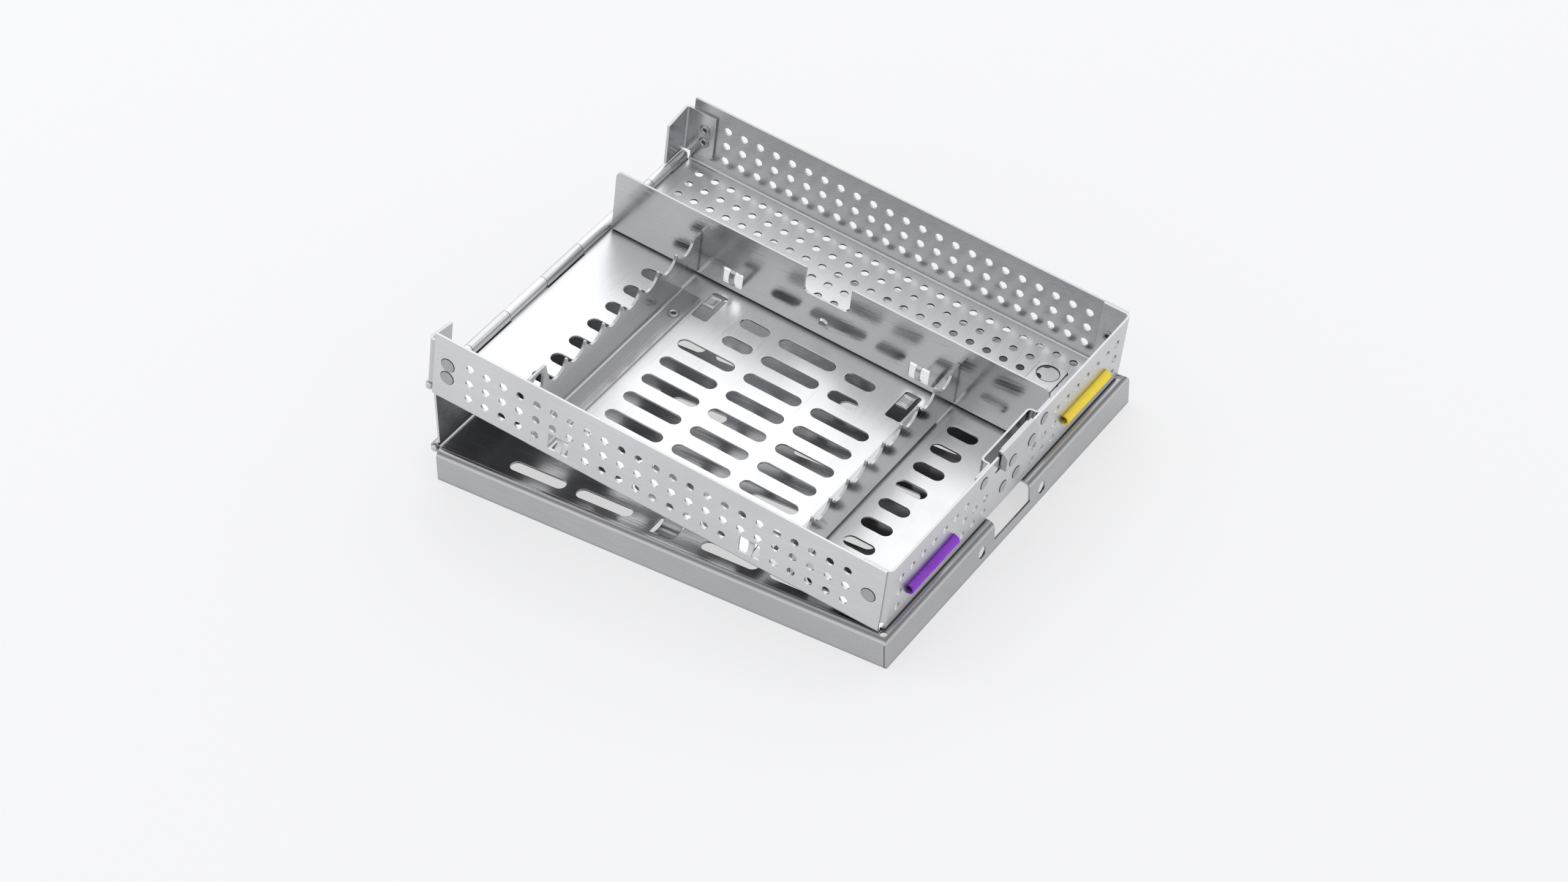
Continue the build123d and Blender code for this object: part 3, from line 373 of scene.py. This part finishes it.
rivet_steel = steel("rivet_steel", tumbled, tone=0.42, roughness=0.30, bump=0.04, edge=0.15)
eyelet_steel = steel("eyelet_steel", tumbled, tone=0.50, roughness=0.2, bump=0.02, edge=0.05, shade_depth=0.75)
# Painted shade: a near-black steel for dark rings, discs and lines that stand in for the shade in gaps,
# seams and holes.
gap_shade_paint = steel("painted_gap_shade", tumbled, tone=0.10, roughness=0.5, swing=0.1, edge=0.05, shade_depth=0.2)
pin_steel = steel("pin_steel", along_y, tone=0.6, roughness=0.2)
spine_steel = steel("spine_steel", along_y, tone=0.66, roughness=0.24)
panel_steel = steel("lid_panel_steel", along_x, tone=0.52, roughness=0.22, shade_depth=0.7, shade_reach=16.0)
side_steel = steel("lid_side_steel", along_x, tone=0.50, roughness=0.26, bend_reflection=0.85)
rim_steel = steel("lid_rim_steel", along_y, tone=0.47, roughness=0.28, bend_reflection=0.85)
tongue_steel = steel("tongue_steel", along_x, tone=0.66, roughness=0.26)
marker_steel = steel("marker_steel", along_x, tone=0.86, roughness=0.42, shade_depth=0.2)
purple = silicone("purple_silicone", (0.26, 0.03, 0.57), (0.45, 0.30, 0.66))
yellow = silicone("yellow_silicone", (1.0, 0.70, 0.035), (0.98, 0.84, 0.40))

dress(floor_steel, "tray_floor", "tray_knuckles")
dress(wall_steel, "tray_front_wall")
dress(back_steel, "tray_back_wall")
dress(latch_steel, "tray_latch_wall")
dress(partition_steel, "partition")
dress(comb_steel, "left_comb", "right_comb")
dress(bracket_steel, "front_corner_bracket", "back_corner_bracket")
dress(guard_steel, "latch_guard")
dress(button_steel, "latch_button")
dress(rivet_steel, "partition_rivets", "comb_rivets", "bracket_rivets", "corner_rivets")
dress(rivet_steel, "latch_guard_rivets", "latch_spring_rivets", "latch_button_rivets")
dress(pin_steel, "tray_hinge_pin", "lid_hinge_pin")
dress(spine_steel, "spine_plate")
dress(panel_steel, "lid_panel")
dress(side_steel, "lid_front_flange", "lid_back_flange")
dress(rim_steel, "lid_latch_flange", "lid_knuckles")
dress(marker_steel, "marker_plate")

# Leaf spring of the latch: a flat strip with rounded corners between its foot and the button
SPRING_HALF = 10.0
SPRING_LOW = 7.6
SPRING_HIGH = 31.2
SPRING_THICK = 0.5
SPRING_CORNER = 1.5
ROWS = 48
COLUMNS = 10


def spring_half_width(z):
    """Half width of the spring at a height, less where its corners are rounded."""
    into = min(z - SPRING_LOW, SPRING_HIGH - z)
    if into >= SPRING_CORNER:
        return SPRING_HALF
    gap = SPRING_CORNER - into
    return SPRING_HALF - SPRING_CORNER + max(0.0, SPRING_CORNER**2 - gap**2) ** 0.5


def spring_points():
    """Two layers of points, with rows up the wall and columns along it."""
    points = []
    for layer in (INNER_WALL, INNER_WALL - SPRING_THICK):
        for row in range(ROWS + 1):
            z = SPRING_LOW + (SPRING_HIGH - SPRING_LOW) * row / ROWS
            half = spring_half_width(z)
            for column in range(COLUMNS + 1):
                y = LATCH_Y - half + 2 * half * column / COLUMNS
                points.append(tray_point(layer, y, z))
    return points


def spring_faces():
    """Faces of both layers, and of the edge between them."""
    across = COLUMNS + 1
    layer = (ROWS + 1) * across
    faces = []
    for row in range(ROWS):
        for column in range(COLUMNS):
            a = row * across + column
            b = a + 1
            c = b + across
            d = a + across
            faces.append((a, b, c, d))
            faces.append((a + layer, d + layer, c + layer, b + layer))
    edge = list(range(COLUMNS + 1))
    edge += [row * across + COLUMNS for row in range(1, ROWS + 1)]
    edge += [ROWS * across + column for column in range(COLUMNS - 1, -1, -1)]
    edge += [row * across for row in range(ROWS - 1, 0, -1)]
    for first, second in zip(edge, edge[1:] + edge[:1]):
        faces.append((first, first + layer, second + layer, second))
    return faces


spring = new_piece("latch_spring_strip", spring_points(), spring_faces(), spring_steel, None, smooth=False)
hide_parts("latch_spring")
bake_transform(spring)

# Silicone sleeves: tubes with rounded lips and slight waves; a turn is in radians per millimetre
SLEEVE_RADIUS = 2.2
SLEEVE_BORE = 1.45
SLEEVE_LENGTH = 30.0
SLEEVE_X = TRAY_LENGTH + 0.35
SLEEVE_Z = 11.2
PURPLE_START = 14.4
YELLOW_START = 117.6
LIP = 0.32
LIP_STEPS = 5
BODY_STEPS = 44
BORE_STEPS = 8
SLEEVE_SIDES = 40
SHRINK = 0.05
LONG_WAVE = 0.035
LONG_WAVE_TURN = 0.43
SHORT_WAVE = 0.02
SHORT_WAVE_TURN = 1.31
OVAL = 0.4


def sleeve_profile():
    """Length along the bar and radius: a rolled lip, the outside, the other lip and the bore."""
    lip = []
    for step in range(LIP_STEPS + 1):
        turn = step / LIP_STEPS * pi / 2
        lip.append((LIP * (1 - sin(turn)), SLEEVE_RADIUS - LIP * (1 - cos(turn))))
    profile = lip[::-1]
    for step in range(1, BODY_STEPS):
        profile.append((LIP + (SLEEVE_LENGTH - 2 * LIP) * step / BODY_STEPS, SLEEVE_RADIUS))
    profile += [(SLEEVE_LENGTH - along, radius) for along, radius in lip]
    for step in range(BORE_STEPS + 1):
        profile.append((SLEEVE_LENGTH * (1 - step / BORE_STEPS), SLEEVE_BORE))
    return profile


def sleeve(name, start, material, node, phase):
    """One sleeve as a closed tube."""
    profile = sleeve_profile()
    points = []
    for along, radius in profile:
        wave = -SHRINK
        wave += LONG_WAVE * sin(along * LONG_WAVE_TURN + phase)
        wave += SHORT_WAVE * sin(along * SHORT_WAVE_TURN + 2 * phase)
        if radius == SLEEVE_BORE:
            wave = 0.0
        for side in range(SLEEVE_SIDES):
            angle = 2 * pi * side / SLEEVE_SIDES
            swell = radius + wave * (1 + OVAL * cos(2 * angle + phase))
            x = SLEEVE_X + swell * cos(angle)
            z = SLEEVE_Z + swell * sin(angle)
            points.append(tray_point(x, start + along, z))
    faces = ring_faces(len(profile), SLEEVE_SIDES, looped=True)
    piece = new_piece(name, points, faces, material, "tray")
    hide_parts(node)


sleeve("purple_tube", PURPLE_START, purple, "purple_sleeve", phase=0.6)
sleeve("yellow_tube", YELLOW_START, yellow, "yellow_sleeve", phase=2.1)

# Painted shadow: a thin dark ring round each flat rivet head stands in for the shade in the gap there; the
# profile is the distance from the head and the height
GAP_SHADE_PROFILE = ((0.01, 0.03), (0.26, 0.03), (0.30, 0.0))
FINE_SIDES = 48
LATCH_HEAD = 2.2
WALL_HEAD = 2.6
GUARD_HEAD_OFFSET = 20.2
GUARD_HEAD_Z = 24.1
SPRING_HEAD_OFFSET = 4.4
SPRING_HEAD_Z = 10.4
BUTTON_HEAD_OFFSET = 6.3
BUTTON_HEAD_Z = 26.2
BUTTON_FACE = TRAY_LENGTH + 2.8
BRACKET_HEAD_X = 5.9
BRACKET_HEADS_Z = (11.8, 17.7)
CORNER_HEAD = (178.0, 15.5)
latch_heads = [
    (LATCH_Y - GUARD_HEAD_OFFSET, GUARD_HEAD_Z),
    (LATCH_Y + GUARD_HEAD_OFFSET, GUARD_HEAD_Z),
    (LATCH_Y - SPRING_HEAD_OFFSET, SPRING_HEAD_Z),
    (LATCH_Y + SPRING_HEAD_OFFSET, SPRING_HEAD_Z),
]
button_heads = [LATCH_Y - BUTTON_HEAD_OFFSET, LATCH_Y + BUTTON_HEAD_OFFSET]
wall_heads = [(BRACKET_HEAD_X, z) for z in BRACKET_HEADS_Z] + [CORNER_HEAD]


def head_gap_shade(name, centre, first, second, radius, body):
    """A dark ring of painted shadow just outside a rivet's head; first and second span the sheet's face.
    """
    profile = [(radius + gap, height) for gap, height in GAP_SHADE_PROFILE]
    points = ring_points(profile, FINE_SIDES, centre, first, second)
    new_piece(name, points, ring_faces(len(profile), FINE_SIDES), gap_shade_paint, body)


for number, (y, z) in enumerate(latch_heads):
    place = tray_point(TRAY_LENGTH, y, z)
    head_gap_shade(f"latch_head_gap_{number}", place, ALONG_Y, ALONG_Z, LATCH_HEAD, "tray")
for number, y in enumerate(button_heads):
    place = tray_point(BUTTON_FACE, y, BUTTON_HEAD_Z)
    head_gap_shade(f"button_head_gap_{number}", place, ALONG_Y, ALONG_Z, LATCH_HEAD, "latch")
for number, (x, z) in enumerate(wall_heads):
    place = tray_point(x, 0, z)
    head_gap_shade(f"front_head_gap_{number}", place, ALONG_X, ALONG_Z, WALL_HEAD, "tray")
    place = tray_point(x, TRAY_DEPTH, z)
    head_gap_shade(f"back_head_gap_{number}", place, ALONG_Z, ALONG_X, WALL_HEAD, "tray")

# Rolled lips of the eyelet rivets, each with a dark disc of painted shade in its middle; the profiles are
# radius and height
EYELET_PROFILE = (
    (0.75, 0.02),
    (0.85, 0.28),
    (1.05, 0.50),
    (1.35, 0.60),
    (1.65, 0.50),
    (1.85, 0.28),
    (1.95, 0.02),
)
MIDDLE_SHADE_PROFILE = ((0.80, 0.06), (0.3, 0.04))
MIDDLE_SIDES = 24
EYELET_RIPPLE = 0.03
BRACKET_FACE = SHEET + 1.0
COMB_FACE = SHEET + 1.0
COMB_HEADS_X = (("left", 43.3), ("right", 140.9))
COMB_HEADS_Y = (("front", 21.0), ("back", 85.99))


def eyelet(name, centre, first, second):
    """A rolled ring with a dark disc of painted shade in its middle; first and second span the sheet's
    face.
    """
    points = ring_points(EYELET_PROFILE, FINE_SIDES, centre, first, second, EYELET_RIPPLE)
    new_piece(name, points, ring_faces(len(EYELET_PROFILE), FINE_SIDES), eyelet_steel, "tray")
    points = ring_points(MIDDLE_SHADE_PROFILE, MIDDLE_SIDES, centre, first, second)
    faces = ring_faces(len(MIDDLE_SHADE_PROFILE), MIDDLE_SIDES, capped=True)
    new_piece(f"{name}_middle", points, faces, gap_shade_paint, "tray")


for number, z in enumerate(BRACKET_HEADS_Z):
    front = tray_point(BRACKET_HEAD_X, BRACKET_FACE, z)
    eyelet(f"front_eyelet_{number}", front, ALONG_Z, ALONG_X)
    back = tray_point(BRACKET_HEAD_X, TRAY_DEPTH - BRACKET_FACE, z)
    eyelet(f"back_eyelet_{number}", back, ALONG_X, ALONG_Z)
for side, x in COMB_HEADS_X:
    for end, y in COMB_HEADS_Y:
        eyelet(f"{side}_comb_eyelet_{end}", tray_point(x, y, COMB_FACE), ALONG_X, ALONG_Y)

# Peened ends of the hinge pins: shallow domes, given by radius and height
PIN_PROFILE = ((1.22, 0.0), (1.18, 0.14), (1.0, 0.30), (0.7, 0.42), (0.3, 0.48))
PIN_SIDES = 24
PIN_FRONT = 1.0
PIN_BACK = 161.0
TRAY_AXIS_X = -2.2
TRAY_AXIS_Z = 2.1
LID_AXIS_X = 0.0
LID_AXIS_Z = 11.3


def pin_end(name, centre, way, body):
    """A dome on the end of a pin; way is -1 at the front and 1 at the back."""
    points = ring_points(PIN_PROFILE, PIN_SIDES, centre, Vector((1, 0, 0)), Vector((0, 0, -way)))
    new_piece(name, points, ring_faces(len(PIN_PROFILE), PIN_SIDES, capped=True), pin_steel, body)


for end, y, way in (("front", PIN_FRONT, -1), ("back", PIN_BACK, 1)):
    pin_end(f"tray_pin_{end}", tray_point(TRAY_AXIS_X, y, TRAY_AXIS_Z), way, "tray")
    pin_end(f"lid_pin_{end}", lid_point(LID_AXIS_X, y, LID_AXIS_Z), way, "lid")

# Pressed pads on the floor's sprung tongues; the profile is inset and height
PAD_PROFILE = ((0.0, 0.0), (0.05, 0.16), (0.22, 0.26), (0.42, 0.22), (0.6, 0.12), (1.4, 0.10))
PAD_HALF_X = 1.95
PAD_HALF_Y = 2.45
PAD_CORNER = 0.9
PAD_SMALLEST_CORNER = 0.25
TONGUE_TOP = 2.4
TONGUE_OFFSET = 40.9
TONGUE_REACH = 6.4
TONGUE_BACK = PARTITION_Y - 3.6
TONGUE_FRONT = 3.4
tongues = [
    (FLOOR_CENTRE + way * TONGUE_OFFSET, y)
    for y in (TONGUE_BACK - TONGUE_REACH, TONGUE_FRONT + TONGUE_REACH)
    for way in (-1, 1)
]
for number, (x, y) in enumerate(tongues):
    points = []
    for inset, height in PAD_PROFILE:
        corner = max(PAD_SMALLEST_CORNER, PAD_CORNER - inset)
        outline = rounded_outline(PAD_HALF_X - inset, PAD_HALF_Y - inset, corner)
        points += [tray_point(x + dx, y + dy, TONGUE_TOP + height) for dx, dy in outline]
    faces = ring_faces(len(PAD_PROFILE), len(outline), capped=True)
    new_piece(f"tongue_pad_{number}", points, faces, tongue_steel, "tray")

# Painted shade: dark rings round the marker plate and lining its window
MARKER_X = 164.8
MARKER_Y = 144.8
MARKER_HALF_X = 5.4
MARKER_FRONT = 9.0
MARKER_BACK = 4.9
MARKER_MIDDLE = MARKER_Y + (MARKER_BACK - MARKER_FRONT) / 2
MARKER_HALF_Y = (MARKER_FRONT + MARKER_BACK) / 2
MARKER_CORNER = 1.0
MARKER_SHADE_PROFILE = ((0.02, 0.02), (0.24, 0.02), (0.28, 0.0))
WINDOW_SHADE_PROFILE = ((4.4, 0.42), (4.22, 0.42), (4.22, 0.02))
WINDOW_SIDES = 64
points = []
for out, height in MARKER_SHADE_PROFILE:
    outline = rounded_outline(MARKER_HALF_X + out, MARKER_HALF_Y + out, MARKER_CORNER + out, 12)
    points += [tray_point(MARKER_X + dx, MARKER_MIDDLE + dy, SHEET + height) for dx, dy in outline]
new_piece("marker_gap_shade", points, ring_faces(len(MARKER_SHADE_PROFILE), len(outline)), gap_shade_paint, "tray")
centre = tray_point(MARKER_X, MARKER_Y, SHEET)
points = ring_points(WINDOW_SHADE_PROFILE, WINDOW_SIDES, centre, ALONG_X, ALONG_Y)
faces = ring_faces(len(WINDOW_SHADE_PROFILE), WINDOW_SIDES)
new_piece("marker_window_shade", points, faces, gap_shade_paint, "tray")

# Painted shade: dark lines at the seams where the lid's latch rim covers the ends of its side rims
LID_REACH = 188.2
LID_FRONT = -1.3
LID_BACK = 163.3
SEAM_LOW = 0.05
SEAM_HIGH = 9.8
SEAM_SHADE_PROFILE = ((-0.30, 0.0), (-0.26, 0.03), (-0.02, 0.03), (0.02, 0.0))


def lid_seam_shade(name, y, way):
    """A dark upright line of painted shade on a side rim's face beside the latch rim's edge."""
    edge = LID_REACH - SHEET
    points = []
    for z in (SEAM_LOW, SEAM_HIGH):
        points += [lid_point(edge + x, y + way * height, z) for x, height in SEAM_SHADE_PROFILE]
    faces = [(step, step + 1, step + 5, step + 4) for step in range(3)]
    new_piece(name, points, faces, gap_shade_paint, "lid")


lid_seam_shade("lid_seam_front", LID_FRONT, -1)
lid_seam_shade("lid_seam_back", LID_BACK, 1)

# Floor under the lid's rims: partly white to the camera and to the metal, so its shadows stay soft
FLOOR_HALF = 4.0
FLOOR_GLOW = 0.6
corners = [(sx * FLOOR_HALF, sy * FLOOR_HALF, 0) for sx, sy in ((-1, -1), (1, -1), (1, 1), (-1, 1))]
pale, tree, shader = new_material("pale_floor")
shader.inputs["Base Color"].default_value = (0.80, 0.80, 0.81, 1)
shader.inputs["Roughness"].default_value = 0.7
glow = add(tree, "ShaderNodeEmission")
glow.inputs["Color"].default_value = (1, 1, 1, 1)
share = maths(tree, "MULTIPLY", seen_rays(tree), FLOOR_GLOW)
mix_shaders(tree, share, shader, glow, "Material Output")
new_piece("studio_floor", corners, [(0, 1, 2, 3)], pale, None, smooth=False)

# Softboxes: places and sizes in metres, power in watts
LAMP_TARGET = (0, 0, 0.03)


def area_light(name, place, size, power):
    """Rectangular softbox that faces the part."""
    lamp = bpy.data.lights.new(name, "AREA")
    lamp.shape = "RECTANGLE"
    lamp.size, lamp.size_y = size
    lamp.energy = power
    light = bpy.data.objects.new(name, lamp)
    light.location = place
    light.rotation_mode = "QUATERNION"
    light.rotation_quaternion = (Vector(LAMP_TARGET) - Vector(place)).to_track_quat("-Z", "Y")
    bpy.context.scene.collection.objects.link(light)


area_light("back_softbox", (-0.5, 1.2, 1.3), (2.2, 1.6), 5)
area_light("left_softbox", (-1.2, -0.3, 0.9), (0.8, 1.2), 2)

# World: one pale studio for the camera and the metal, and a softer light on matt surfaces
world = bpy.data.worlds.new("studio")
bpy.context.scene.world = world
world.use_nodes = True
sky = world.node_tree
soft = sky.nodes["Background"]
soft.inputs["Color"].default_value = (0.96, 0.97, 1.0, 1)
soft.inputs["Strength"].default_value = 0.95
white = add(sky, "ShaderNodeBackground")
white.inputs["Color"].default_value = (1, 1, 1, 1)
mix_shaders(sky, seen_rays(sky), soft, white, "World Output")

# Camera at the photograph's viewing angle
camera_data = bpy.data.cameras.new("camera")
camera_data.sensor_width = 36.0
camera_data.lens = 103.26
camera_data.clip_end = 20.0
camera = bpy.data.objects.new("camera", camera_data)
bpy.context.scene.collection.objects.link(camera)
camera_place = Vector((674.31, -1018.31, 1029.78)) * MM
camera_right = Vector((0.84083, 0.54107, -0.01594)).normalized()
camera_back = Vector((0.42223, -0.63716, 0.64479)).normalized()
camera_up = camera_back.cross(camera_right).normalized()
turn = Matrix((camera_right, camera_up, camera_back)).transposed()
camera.matrix_world = Matrix.Translation(camera_place) @ turn.to_4x4()
bpy.context.scene.camera = camera

bpy.context.scene.view_settings.view_transform = "Standard"
